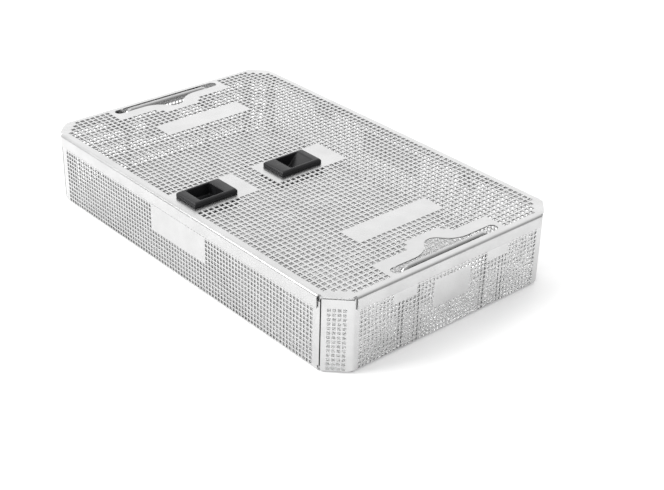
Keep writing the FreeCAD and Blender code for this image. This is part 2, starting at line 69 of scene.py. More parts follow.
# Lid, all in millimetres from the middle of its plan. A diagonal is the sum of both distances
# along a clipped corner, and a margin is the least from an edge to the middle of a hole.
LID_TOP = 68.0
LID_HALF = (201.0, 125.0)
LID_DIAGONAL = 306.7
LID_BEND = 2.7
LID_MARGIN = 8.5
SKIRT_LOW = 56.3
SKIRT_ENDS = (178.9, 102.9)

# Plain areas and openings as low x, low y, high x, high y. A slot's surround is given as the
# distance inwards from the lid's end and half its length.
LABELS = [(118.25, -47.0, 140.25, 47.0), (-140.25, -47.0, -118.25, 47.0)]
GRIP_PLATES = [(-19.5, -30.0, 19.5, 46.5), (-19.5, -125.0, 19.5, -52.5)]
SLOT_SURROUNDS = [(27.5, 63.0), (33.0, 24.5), (38.5, 19.0)]
CUP_HALF = 12.3
CUP_CUTS = [(-CUP_HALF, -11.3, CUP_HALF, 17.5), (-CUP_HALF, -112.8, CUP_HALF, -80.0)]

# Handle slots: the patch as three x and two half lengths, the slot, and its finger gap
SLOT_PATCH = (165.0, 174.5, 197.0, 18.9, 61.5)
SLOT_X = 189.75
SLOT_RADIUS = 4.65
SLOT_STRAIGHT = 54.05
BUMP_DEPTH = 15.0
BUMP_HALF = 30.0
BUMP_TIP = 11.0

# Hook tongues: place, half width, start above the skirt's edge, bend and straight end
HOOKS = 98.0
TONGUE_HALF = 7.0
TONGUE_START = 0.5
TONGUE_BEND = 1.5
TONGUE_END = 6.5

# Walls and bottom. The flange is its width and its two heights, and the tongues' slot in the
# back wall is its half width and its two heights.
END_X = 199.5
FRONT_Y = 123.5
BODY_DIAGONAL = 305.286
FOOT_BEND = 2.5
FOOT_LIP = 1.0
FOOT_GAP = 0.3
RIM = 66.3
PANEL_TOP = 65.4
CORNER_BEND = 2.0
CORNER_ARC = CORNER_BEND * QUARTER / 2
CORNER_SETBACK = CORNER_BEND * math.tan(QUARTER / 4)
FLANGE = (6.0, 5.5, 62.4)
SEAM_GAP = 0.8
FIRST_ROW = 4.0
RIM_MARGIN = 9.0
LONG_WALL_MARGIN = 9.0
END_WALL_MARGIN = 7.5
PANEL_MARGIN = 6.0
SIDE_LABEL = (-38.0, 30.0, 38.0, 54.4)
END_LABEL = (-20.0, 26.0, 20.0, 50.5)
TAB_LOW = 46.2
TAB_HALF = 12.0
END_TAB_Y = 52.0
BACK_SLOT = (8.5, 54.5, 59.0)
BOTTOM = (196.0, 120.0, 300.336)
BOTTOM_MARGIN = 6.0

# Spot welds: radius and height, distance from the corner, and heights on the wall
SPOT_WELD = (1.3, 0.12)
SPOT_INSET = 3.1
SPOT_LEVELS = (9.5, 33.5, 58.5)

# Handles and grips. A leg's head is its radius and its two heights.
LEG_Y = 47.0
BAR_Z = 66.0
WIRE_BEND = 6.0
HEAD = (3.8, 1.3, 3.3)
GRIP_WIDTH = 27.6
GRIP_LENGTH = 44.5
GRIP_HEIGHT = 4.5

# Studio: brightness of the sky at the horizon and high up, and its patches as direction, factor,
# and the half angles in degrees of the full and the faded cone
SKY_RAMP = (0.88, 0.62)
SKY_PATCHES = [((-0.74, 0.67, 0.45), 1.9, 25, 75), ((0.74, -0.67, 0.2), 0.85, 20, 60),
               ((0.81, 0.58, 0.2), 0.55, 15, 38), ((-0.646, -0.763, 0.0), 0.2, 6, 14)]

# Lamps as name, place and size in metres, and power in watts, with the point that they face
LAMPS = [("key_softbox", (-0.8, -1.5, 1.5), (1.2, 1.0), 34.0),
         ("top_softbox", (0.0, -0.2, 2.0), (1.6, 1.6), 6.0)]
LAMP_AIM = Vector((0, 0, 0.03))

# Floor: half its side and its drop below the basket in metres, and its own faint light
FLOOR_HALF = 12.0
FLOOR_DROP = 0.0002
FLOOR_GLOW = 0.2


class BasketSizes(bpy.types.PropertyGroup):
    """Sizes that a user may want to change."""

    sheet: bpy.props.FloatProperty(
        name="Sheet", description="Thickness of the lid, walls and bottom",
        default=0.001, min=0.0005, max=0.002, unit="LENGTH", subtype="DISTANCE", precision=4)
    lid_pitch: bpy.props.FloatProperty(
        name="Lid pitch", description="Distance between the holes of the lid and the bottom",
        default=0.0055, min=0.004, max=0.01, unit="LENGTH", subtype="DISTANCE", precision=5)
    lid_hole: bpy.props.FloatProperty(
        name="Lid hole", description="Side of a square hole in the lid and the bottom",
        default=0.00385, min=0.001, max=0.008, unit="LENGTH", subtype="DISTANCE", precision=5)
    wall_pitch: bpy.props.FloatProperty(
        name="Wall pitch", description="Distance between the holes of the walls",
        default=0.004, min=0.003, max=0.01, unit="LENGTH", subtype="DISTANCE", precision=5)
    wall_hole: bpy.props.FloatProperty(
        name="Wall hole", description="Side of a square hole in the walls",
        default=0.0028, min=0.001, max=0.008, unit="LENGTH", subtype="DISTANCE", precision=5)
    wire: bpy.props.FloatProperty(
        name="Handle wire", description="Thickness of the bent wire of the handles",
        default=0.005, min=0.002, max=0.006, unit="LENGTH", subtype="DISTANCE", precision=4)
    grip_fillet: bpy.props.FloatProperty(
        name="Grip fillet", description="Radius of the rounded edges of the grips",
        default=0.0009, min=0.0001, max=0.0014, unit="LENGTH", subtype="DISTANCE", precision=5)


class BasketFinishes(bpy.types.PropertyGroup):
    """Colours and polish that a user may want to change."""

    lid_steel: bpy.props.FloatVectorProperty(
        name="Lid steel", description="Colour of the lid's electropolished sheet",
        default=(0.56, 0.56, 0.56), subtype="COLOR", size=3, min=0, max=1)
    wall_steel: bpy.props.FloatVectorProperty(
        name="Wall steel", description="Colour of the electropolished sheets of the walls",
        default=(0.58, 0.58, 0.58), subtype="COLOR", size=3, min=0, max=1)
    # The bottom is lighter than the walls' steel: painted light that brightens the inside
    bottom_steel_painted_light: bpy.props.FloatVectorProperty(
        name="Bottom steel", description="Colour of the bottom's satin sheet, lightened as painted light on the inside",
        default=(0.86, 0.86, 0.86), subtype="COLOR", size=3, min=0, max=1)
    wire_steel: bpy.props.FloatVectorProperty(
        name="Wire steel", description="Colour of the polished handle wire",
        default=(0.47, 0.47, 0.47), subtype="COLOR", size=3, min=0, max=1)
    grip_black: bpy.props.FloatVectorProperty(
        name="Grip plastic", description="Colour of the plastic grips and their housings",
        default=(0.009, 0.009, 0.010), subtype="COLOR", size=3, min=0, max=1)
    lid_polish: bpy.props.FloatProperty(
        name="Lid roughness", description="Mean roughness of the lid's sheet",
        default=0.27, min=0.02, max=1, subtype="FACTOR")
    wall_polish: bpy.props.FloatProperty(
        name="Wall roughness", description="Mean roughness of the walls",
        default=0.16, min=0.02, max=1, subtype="FACTOR")


def lines(*parts):
    """Sorted grid lines. Those nearly in one place count as one."""
    values = np.sort(np.concatenate([np.asarray(p, float).ravel() for p in parts]))
    return values[np.concatenate([[True], np.diff(values) > SAME_LINE])]


def both_signs(values):
    """The values with a minus sign, and then the values."""
    values = np.atleast_1d(np.asarray(values, float))
    return np.concatenate([-values, values])


def between(values, low, high):
    """Two limits, and the values between them."""
    return [low, high] + [value for value in values if low < value < high]


def clip_lines(rims_x, rims_y, half_x, half_y, diagonal):
    """Grid lines along X and along Y that cross each other on the clipped corners."""
    near_x = between(rims_x, diagonal - half_y, half_x)
    near_y = between(rims_y, diagonal - half_x, half_y)
    return (both_signs(np.concatenate([near_x, diagonal - np.array(near_y)])),
            both_signs(np.concatenate([near_y, diagonal - np.array(near_x)])))


def spaced(first, pitch, count):
    """A count of places, one pitch apart, from the first on."""
    return first + pitch * np.arange(count)


def centred(span, pitch):
    """Places one pitch apart on both sides of nought, as many as the span holds."""
    count = int(span / pitch + ROUNDING) + 1
    return spaced(-(count - 1) * pitch / 2, pitch, count)


def full_turn(count):
    """Angles of a count of points, spread evenly round a circle."""
    return np.linspace(0, 4 * QUARTER, count + 1)[:-1]


def rims(centres, side):
    """The two grid lines of each hole of a row: its centre less and plus half its side."""
    return np.concatenate([centres - side / 2, centres + side / 2])


def open_cells(u, v, centres_u, centres_v, side, plain=(), diagonal=math.inf):
    """The cells of a grid that lie in square holes, as a mask.

    A cell is open where its middle is less than half a hole from a hole's centre both ways, where
    that centre lies inside the diagonal, and where the hole meets none of the plain areas.
    """
    def nearest(places, centres):
        step = centres[1] - centres[0]
        order = np.clip(np.rint((places - centres[0]) / step), 0, len(centres) - 1)
        centre = centres[0] + order * step
        return centre, np.abs(places - centre) < side / 2

    cu, in_u = nearest((u[:-1] + u[1:]) / 2, centres_u)
    cv, in_v = nearest((v[:-1] + v[1:]) / 2, centres_v)
    cu, cv = np.meshgrid(cu, cv, indexing="ij")
    holes = in_u[:, None] & in_v[None, :] & (np.abs(cu) + np.abs(cv) <= diagonal)
    half = side / 2
    for u0, v0, u1, v1 in plain:
        holes &= ~((cu + half > u0) & (cu - half < u1) & (cv + half > v0) & (cv - half < v1))
    return holes


def middles(u, v):
    """The middles of a grid's cells, as two arrays."""
    return np.meshgrid((u[:-1] + u[1:]) / 2, (v[:-1] + v[1:]) / 2, indexing="ij")


def sheet(u, v, metal, place, thickness, turned_over=False):
    """Points and faces of a sheet with openings.

    A point is place(u, v, depth): u and v are distances along the outer face and depth is how far
    below it the point lies. Each metal cell between grid lines gives one face at depth nought and
    one at full depth, and each of its sides that borders an opening gives a face between them.
    """
    grid = np.meshgrid(u, v, indexing="ij")
    points = np.concatenate([place(*grid, depth).reshape(-1, 3) for depth in (0.0, thickness)])
    index = np.arange(len(u) * len(v)).reshape(len(u), len(v))
    a, b, c, d = index[:-1, :-1], index[1:, :-1], index[1:, 1:], index[:-1, 1:]
    below = len(u) * len(v)
    faces = [np.stack([a, b, c, d], -1)[metal], np.stack([d, c, b, a], -1)[metal] + below]
    padded = np.pad(metal, 1)
    for p, q, beside in ((a, b, padded[1:-1, :-2]), (b, c, padded[2:, 1:-1]),
                         (c, d, padded[1:-1, 2:]), (d, a, padded[:-2, 1:-1])):
        border = metal & ~beside
        faces.append(np.stack([p, p + below, q + below, q], -1)[border])
    used, faces = np.unique(np.concatenate(faces), return_inverse=True)
    faces = faces.reshape(-1, 4)
    return points[used], faces[:, ::-1] if turned_over else faces


def merged(*parts):
    """Several sets of points and faces as one."""
    starts = np.cumsum([0] + [len(points) for points, _ in parts])
    return (np.concatenate([points for points, _ in parts]),
            np.concatenate([faces + start for (_, faces), start in zip(parts, starts)]))


def mirror_x(part):
    """The part mirrored in the plane x = 0."""
    points, faces = part
    return points * (-1, 1, 1), faces[:, ::-1]


def mirror_y(part):
    """The part mirrored in the plane y = 0."""
    points, faces = part
    return points * (1, -1, 1), faces[:, ::-1]


def loft(rings):
    """A closed skin over rings that all have the same number of points.

    The first index is the ring, the second the point round it. The first and the last ring are
    closed by a fan round their middles. Rings that turn left round their way of travel give faces
    that point outwards.
    """
    rings = np.asarray(rings, float)
    count, around = rings.shape[:2]
    index = np.arange(count * around).reshape(count, around)
    after = np.roll(index, -1, axis=1)
    skin = np.stack([index[:-1], after[:-1], after[1:], index[1:]], -1).reshape(-1, 4)
    low, high = np.full(around, count * around), np.full(around, count * around + 1)
    first = np.stack([after[0], index[0], low, low], -1)
    last = np.stack([index[-1], after[-1], high, high], -1)
    points = np.concatenate([rings.reshape(-1, 3), rings[[0, -1]].mean(1)])
    return points, np.concatenate([skin, first, last])


def piece(name, part, material, body, stands_for=(), sharp=30.0):
    """A mesh object in the frame, from points in millimetres, riding on a body.

    A face whose last two corners are one point is written as a triangle. Edges sharper than the
    given angle in degrees are shaded as edges.
    """
    points, faces = part
    corners = [list(f[:3]) if f[2] == f[3] else list(f) for f in faces.tolist()]
    mesh = bpy.data.meshes.new(name)
    mesh.from_pydata((points * MM).tolist(), [], corners)
    mesh.validate()
    mesh.polygons.foreach_set("use_smooth", np.ones(len(mesh.polygons), bool))
    mesh.set_sharp_from_angle(angle=math.radians(sharp))
    mesh.update()
    mesh.materials.append(material)
    made = bpy.data.objects.new(name, mesh)
    bpy.context.scene.collection.objects.link(made)
    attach(made, body)
    if stands_for:
        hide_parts(*stands_for)


def folded_edge(excess, depth, radius):
    """How a sheet goes on past the start of a quarter bend: distances outwards and downwards.

    The excess is measured along the outer face. It first turns through a quarter circle of the
    outer radius, on which an inner layer has a radius less by its depth, and then runs straight.
    """
    angle = np.clip(excess / radius, 0, QUARTER)
    beyond = np.clip(excess - radius * QUARTER, 0, None)
    out = (radius - depth) * np.sin(angle)
    down = radius - (radius - depth) * np.cos(angle) + beyond
    return out, down


def bend_lines(radius, steps, beyond):
    """Grid lines over a quarter bend of the outer radius and over the straight part after it."""
    arc = radius * QUARTER
    return np.concatenate([np.linspace(0, arc, steps + 1), arc + np.asarray(beyond, float)])


def bump_edge(y):
    """The inner edge of a handle slot at each place along it.

    Three arcs: one about the tip's centre in the middle, and on both sides one whose circle
    touches it and the straight edge. Round the slot's ends the edge is a half circle.
    """
    inner = SLOT_X - SLOT_RADIUS
    flare = (BUMP_DEPTH ** 2 + BUMP_HALF ** 2) / (2 * BUMP_DEPTH) - BUMP_TIP
    tip_x = inner - BUMP_DEPTH + BUMP_TIP
    meeting = BUMP_HALF * BUMP_TIP / (BUMP_TIP + flare)
    y = np.abs(y)
    tip = tip_x - np.sqrt(np.clip(BUMP_TIP ** 2 - y ** 2, 0, None))
    side = inner - flare + np.sqrt(np.clip(flare ** 2 - (BUMP_HALF - y) ** 2, 0, None))
    end = SLOT_X - np.sqrt(np.clip(SLOT_RADIUS ** 2 - (y - SLOT_STRAIGHT) ** 2, 0, None))
    return np.select([y < meeting, y < BUMP_HALF, y < SLOT_STRAIGHT], [tip, side, inner], end)


def outer_edge(y):
    """The outer edge of a handle slot: straight, with half circles at the ends."""
    past = np.clip(np.abs(y) - SLOT_STRAIGHT, 0, SLOT_RADIUS)
    return SLOT_X + np.sqrt(SLOT_RADIUS ** 2 - past ** 2)


def slot_surround(thickness):
    """The plain metal round the slot at the right end.

    Five grid lines run along the slot, numbered from nought. Two of them are bent to lie on the
    slot's edges: between the fixed outer lines, x is a function of the line's number and of y.
    """
    x0, x1, x2, narrow, wide = SLOT_PATCH
    end = SLOT_STRAIGHT + SLOT_RADIUS
    curve = SLOT_STRAIGHT + SLOT_RADIUS * np.sin(np.linspace(0, QUARTER, 9))
    step = 0.75
    bump = np.arange(0, BUMP_HALF + step / 2, step)
    v = lines(both_signs(np.concatenate([bump, [narrow], curve, [wide]])))
    u = np.arange(5.0)

    def place(i, y, depth):
        inner = np.where(np.abs(y) > end, SLOT_X, bump_edge(y))
        outer = np.where(np.abs(y) > end, SLOT_X, outer_edge(y))
        bent = np.abs(y) < narrow - SAME_LINE
        shoulder = np.where(bent, np.minimum(x1, (x0 + inner) / 2), x1)
        x = np.select([i == 0, i == 1, i == 2, i == 3], [x0, shoulder, inner, outer], x2)
        return np.stack([x, y, np.full_like(x, LID_TOP - depth)], -1)

    column, y = middles(u, v)
    metal = (column > 1) | (np.abs(y) < narrow)
    metal &= ~((column > 2) & (column < 3) & (np.abs(y) < end))
    return sheet(u, v, metal, place, thickness)


def lid_tongue(thickness):
    """The tongue that hooks into the back wall: the skirt goes on through a small quarter bend."""
    start = SKIRT_LOW + TONGUE_START
    u = np.array([HOOKS - TONGUE_HALF, HOOKS + TONGUE_HALF])
    v = bend_lines(TONGUE_BEND, 6, [TONGUE_END])

    def place(x, s, depth):
        out, down = folded_edge(s, depth, TONGUE_BEND)
        return np.stack([x, LID_HALF[1] - down, start - out], -1)

    metal = np.ones((len(u) - 1, len(v) - 1), bool)
    return sheet(u, v, metal, place, thickness, turned_over=True)


def lid_shape(size):
    """The lid: a clipped plate with square holes, and a skirt folded down on each side."""
    thickness, pitch, side = size.sheet / MM, size.lid_pitch / MM, size.lid_hole / MM
    flat_x, flat_y = LID_HALF[0] - LID_BEND, LID_HALF[1] - LID_BEND
    skirt = LID_TOP - LID_BEND - SKIRT_LOW
    arc = LID_BEND * QUARTER
    tongue_line = skirt - TONGUE_START
    holes_x = centred(2 * LID_HALF[0] - 2 * LID_MARGIN, pitch)
    holes_y = centred(2 * LID_HALF[1] - 2 * LID_MARGIN, pitch)
    rims_x, rims_y = rims(holes_x, side), rims(holes_y, side)
    x0, x1, x2, narrow, wide = SLOT_PATCH
    over_x = flat_x + bend_lines(LID_BEND, 8, [skirt])
    over_y = flat_y + bend_lines(LID_BEND, 8, [tongue_line, skirt])
    cuts_y = [c for cut in CUP_CUTS for c in (cut[1], cut[3])]
    clip_x, clip_y = clip_lines(rims_x, rims_y, flat_x, flat_y, LID_DIAGONAL)
    u = lines(rims_x, both_signs(over_x), clip_x, both_signs([SKIRT_ENDS[0], CUP_HALF, 0.0]),
              both_signs([x0, x1, x2, HOOKS - TONGUE_HALF, HOOKS + TONGUE_HALF]))
    v = lines(rims_y, both_signs(over_y), clip_y, both_signs([SKIRT_ENDS[1], narrow, wide]),
              cuts_y)
    plain = LABELS + GRIP_PLATES
    for depth, half in SLOT_SURROUNDS:
        plain = plain + [(LID_HALF[0] - depth, -half, LID_HALF[0], half),
                         (-LID_HALF[0], -half, depth - LID_HALF[0], half)]
    cx, cy = middles(u, v)
    ax, ay = np.abs(cx), np.abs(cy)
    plate = (ax < flat_x) & (ay < flat_y) & (ax + ay < LID_DIAGONAL + ON_CLIP)
    plate &= ~open_cells(u, v, holes_x, holes_y, side, plain,
                         LID_DIAGONAL - LID_MARGIN * math.sqrt(2))
    plate &= ~((ax > x0) & (ax < x2) & (ay < narrow)) & ~((ax > x1) & (ax < x2) & (ay < wide))
    for u0, v0, u1, v1 in CUP_CUTS:
        plate &= ~((cx > u0) & (cx < u1) & (cy > v0) & (cy < v1))
    long_skirt = (ay > flat_y) & (ax < SKIRT_ENDS[0])
    long_skirt &= ~((cy > flat_y + arc + tongue_line) & (np.abs(ax - HOOKS) < TONGUE_HALF))
    short_skirt = (ax > flat_x) & (ay < SKIRT_ENDS[1])
    metal = plate | (long_skirt & (ax < flat_x)) | (short_skirt & (ay < flat_y))

    def place(x, y, depth):
        ax, ay = np.abs(x), np.abs(y)
        out_x, down_x = folded_edge(np.clip(ax - flat_x, 0, None), depth, LID_BEND)
        out_y, down_y = folded_edge(np.clip(ay - flat_y, 0, None), depth, LID_BEND)
        inside = (ax <= flat_x + ROUNDING) & (ay <= flat_y + ROUNDING)
        back = np.where(inside, np.clip(ax + ay - LID_DIAGONAL, 0, None) / 2, 0)
        px = np.where(ax > flat_x, flat_x + out_x, ax - back)
        py = np.where(ay > flat_y, flat_y + out_y, ay - back)
        z = LID_TOP - np.where(ax > flat_x, down_x, np.where(ay > flat_y, down_y, depth))
        return np.stack([np.copysign(px, x), np.copysign(py, y), z], -1)

    surround = slot_surround(thickness)
    tongue = lid_tongue(thickness)
    return merged(sheet(u, v, metal, place, thickness), surround, mirror_x(surround),
                  tongue, mirror_x(tongue))


def bottom_shape(size):
    """The flat bottom: a clipped plate with the lid's holes."""
    thickness, pitch, side = size.sheet / MM, size.lid_pitch / MM, size.lid_hole / MM
    half_x, half_y, diagonal = BOTTOM
    holes_x = centred(2 * (half_x - BOTTOM_MARGIN), pitch)
    holes_y = centred(2 * (half_y - BOTTOM_MARGIN), pitch)
    rims_x, rims_y = rims(holes_x, side), rims(holes_y, side)
    clip_x, clip_y = clip_lines(rims_x, rims_y, half_x, half_y, diagonal)
    u, v = lines(rims_x, clip_x), lines(rims_y, clip_y)
    cx, cy = middles(u, v)
    metal = np.abs(cx) + np.abs(cy) < diagonal + ON_CLIP
    metal &= ~open_cells(u, v, holes_x, holes_y, side,
                         diagonal=diagonal - BOTTOM_MARGIN * math.sqrt(2))

    def place(x, y, depth):
        back = np.clip(np.abs(x) + np.abs(y) - diagonal, 0, None) / 2
        z = np.full_like(x, thickness - depth)
        return np.stack([x - np.copysign(back, x), y - np.copysign(back, y), z], -1)

    return sheet(u, v, metal, place, thickness)


def wall_section(s, depth):
    """A wall's section: how far inside the outer face, and how high.

    The distance s goes along the outer face from the end of the lip: one lip, a quarter circle,
    and then straight up.
    """
    arc = FOOT_BEND * QUARTER
    angle = np.clip((s - FOOT_LIP) / FOOT_BEND, 0, QUARTER)
    inset = FOOT_BEND - (FOOT_BEND - depth) * np.sin(angle) + np.clip(FOOT_LIP - s, 0, None)
    height = FOOT_BEND - (FOOT_BEND - depth) * np.cos(angle)
    height = height + np.clip(s - FOOT_LIP - arc, 0, None)
    return inset, height


def up(z):
    """The distance along a wall's section at which it reaches a height above the foot bend."""
    return FOOT_LIP + FOOT_BEND * QUARTER + np.asarray(z, float) - FOOT_BEND


def wall_path(u, straight, offset):
    """A wall's outer face in plan, and its outward direction.

    The distance u is from the middle. The face runs straight along its own X at the offset, then
    turns through an eighth of a circle of the corner bend's outer radius, and runs on straight.
    """
    far = np.abs(u)
    angle = np.clip((far - straight) / CORNER_BEND, 0, QUARTER / 2)
    beyond = np.clip(far - straight - CORNER_ARC, 0, None)
    along = np.minimum(far, straight) + CORNER_BEND * np.sin(angle) + beyond * SLANT
    out = offset - CORNER_BEND * (1 - np.cos(angle)) - beyond * SLANT
    sign = np.sign(u)
    return along * sign, out, np.sin(angle) * sign, np.cos(angle)


def wall(size, u, v, metal, straight, offset):
    """A wall that faces -Y: its section carried along its path in plan."""
    def place(u, s, depth):
        along, out, normal_along, normal_out = wall_path(u, straight, offset)
        inset, height = wall_section(s, depth)
        return np.stack([along - normal_along * inset, normal_out * inset - out, height], -1)

    return sheet(u, v, metal, place, size.sheet / MM)


def wall_rows(size):
    """The heights of the walls' rows of holes."""
    pitch = size.wall_pitch / MM
    return spaced(FIRST_ROW, pitch, int((RIM - RIM_MARGIN - FIRST_ROW) / pitch) + 1)


def wall_levels(size, heights):
    """Grid lines along a wall's section: its foot, its rows of holes, and the given heights."""
    return lines([0, FOOT_LIP], FOOT_LIP + bend_lines(FOOT_BEND, 7, []),
                 up(rims(wall_rows(size), size.wall_hole / MM)), up(heights))


def tabs(place):
    """The two plain areas under the rim at the same distance from the middle."""
    return [(s * place - TAB_HALF, TAB_LOW, s * place + TAB_HALF, RIM) for s in (-1, 1)]


def corner_lines(straight):
    """Grid lines over the bends at both ends of a wall's straight part."""
    return both_signs(np.linspace(straight, straight + CORNER_ARC, 4))


def long_wall_shape(size, back):
    """A long wall, with the weld flanges that lie behind the corner panels."""
    pitch, side = size.wall_pitch / MM, size.wall_hole / MM
    corner = BODY_DIAGONAL - FRONT_Y
    straight = corner - size.sheet / MM * math.sqrt(2) - CORNER_SETBACK
    columns = centred(2 * (corner - LONG_WALL_MARGIN), pitch)
    tail = FLANGE[0] - CORNER_SETBACK
    slot_half, slot_low, slot_high = BACK_SLOT
    plain = [SIDE_LABEL]
    slots_u, slots_z = [], []
    if back:
        plain = plain + tabs(HOOKS)
        slots_u = both_signs([HOOKS - slot_half, HOOKS + slot_half])
        slots_z = [slot_low, slot_high]
    u = lines(rims(columns, side), corner_lines(straight), both_signs(straight + CORNER_ARC + tail),
              slots_u)
    v = wall_levels(size, [FLANGE[1], FLANGE[2], RIM, *slots_z])
    level = v - up(0.0)
    cu, cz = middles(u, level)
    metal = (np.abs(cu) < straight) | ((cz > FLANGE[1]) & (cz < FLANGE[2]))
    metal &= ~open_cells(u, level, columns, wall_rows(size), side, plain)
    if back:
        in_slot = (np.abs(np.abs(cu) - HOOKS) < slot_half) & (cz > slot_low) & (cz < slot_high)
        metal &= ~in_slot
    part = wall(size, u, v, metal, straight, FRONT_Y)
    return mirror_y(part) if back else part


def end_wall_shape(size):
    """The right short wall, with the corner panels folded on at both of its ends."""
    pitch, side = size.wall_pitch / MM, size.wall_hole / MM
    corner = BODY_DIAGONAL - END_X
    straight = corner - CORNER_SETBACK
    panel = math.hypot(END_X - (BODY_DIAGONAL - FRONT_Y), FRONT_Y - corner)
    panel_start = straight + CORNER_ARC - CORNER_SETBACK
    seam = panel_start + panel - SEAM_GAP
    columns = centred(2 * (corner - END_WALL_MARGIN), pitch)
    panel_columns = panel_start + panel / 2 + centred(panel - 2 * PANEL_MARGIN, pitch)
    rows = wall_rows(size)
    foot_end = (FOOT_BEND + FOOT_LIP) * math.tan(QUARTER / 4) + FOOT_GAP
    feet = [corner - foot_end, panel_start + foot_end, panel_start + panel - foot_end]
    u = lines(rims(columns, side), corner_lines(straight), both_signs(rims(panel_columns, side)),
              both_signs(feet), both_signs(seam))
    v = wall_levels(size, [PANEL_TOP, RIM])
    level = v - up(0.0)
    cu, cz = middles(u, level)
    far = np.abs(cu)
    footed = (far < feet[0]) | ((far > feet[1]) & (far < feet[2]))
    metal = (footed | (cz > FOOT_BEND)) & ((far < straight) | (cz < PANEL_TOP))
    metal &= ~open_cells(u, level, columns, rows, side, [END_LABEL] + tabs(END_TAB_Y))
    for sign in (-1, 1):
        metal &= ~open_cells(u, level, np.sort(sign * panel_columns), rows, side)
    points, faces = wall(size, u, v, metal, straight, END_X)
    return points[:, [1, 0, 2]] * (-1, 1, 1), faces


def seam_line():
    """Painted shade in the front seam of the right end: one low profile carried straight up.

    The profile lies in the gap beside the corner panel. It is given as distances from the body's
    corner along the panel and below the panel's outer face.
    """
    profile = np.array([(-0.3, 0.98), (-0.1, 0.72), (0.3, 0.5), (0.78, 0.45), (0.78, 0.98)])
    along = np.array([1, 1]) * SLANT
    inwards = np.array([-1, 1]) * SLANT
    plan = np.array([BODY_DIAGONAL - FRONT_Y, -FRONT_Y]) + profile @ np.stack([along, inwards])
    heights = [FLANGE[1], 20.0, 40.0, FLANGE[2], PANEL_TOP - 0.3]
    return loft([np.column_stack([plan, np.full(len(plan), z)]) for z in heights])


def wire_path():
    """The middle line of a handle and the direction along it, from one leg's foot to the other's.

    Up along a leg, a quarter circle inwards, across, a quarter circle down, and down.
    """
    turn = np.linspace(0, QUARTER, 15)
    top, low = BAR_Z - WIRE_BEND, (HEAD[1] + HEAD[2]) / 2
    y = np.concatenate([[-LEG_Y], -LEG_Y + WIRE_BEND * (1 - np.cos(turn))])
    z = np.concatenate([[low], top + WIRE_BEND * np.sin(turn)])
    heading = np.concatenate([[0], turn])
    y = np.concatenate([y, -y[::-1]])
    z = np.concatenate([z, z[::-1]])
    heading = np.concatenate([heading, 2 * QUARTER - heading[::-1]])
    return y, z, heading


def handle_shape(size):
    """The right handle: a circle carried along the wire's path, and a turned head on each leg.

    A point of the wire is the path's point plus the radius times the cosine of its angle along X
    and times the sine along the path's own normal. A head is a profile turned about its leg.
    """
    radius = size.wire / MM / 2
    y, z, heading = wire_path()
    angle = full_turn(32)
    side = np.cos(angle)[None, :] * radius
    rise = np.sin(angle)[None, :] * radius
    ring = np.stack([SLOT_X + side + 0 * y[:, None],
                     y[:, None] + rise * -np.cos(heading)[:, None],
                     z[:, None] + rise * np.sin(heading)[:, None]], -1)
    wire = loft(ring[:, ::-1])
    wide, low, high = HEAD
    soft = 0.45
    curve = np.linspace(0, QUARTER, 5)
    out = np.concatenate([wide - soft + soft * np.sin(curve), wide - soft + soft * np.cos(curve)])
    level = np.concatenate([low + soft * (1 - np.cos(curve)), high - soft * (1 - np.sin(curve))])
    parts = [wire]
    for leg in (-LEG_Y, LEG_Y):
        rings = np.stack([SLOT_X + out[:, None] * np.cos(angle), leg + out[:, None] * np.sin(angle),
                          level[:, None] + 0 * angle], -1)
        parts.append(loft(rings))
    return merged(*parts)


def soft_rectangle(x_half, y_low, y_high, radius, z):
    """A ring of points: a rectangle in plan with quarter circles at its corners, at a height."""
    angle = np.linspace(0, QUARTER, 7)
    x = np.concatenate([x_half - radius + radius * np.cos(angle),
                        radius - x_half - radius * np.sin(angle),
                        radius - x_half - radius * np.cos(angle),
                        x_half - radius + radius * np.sin(angle)])
    y = np.concatenate([y_high - radius + radius * np.sin(angle),
                        y_high - radius + radius * np.cos(angle),
                        y_low + radius - radius * np.sin(angle),
                        y_low + radius - radius * np.cos(angle)])
    return np.stack([x, y, np.full_like(x, z)], -1)


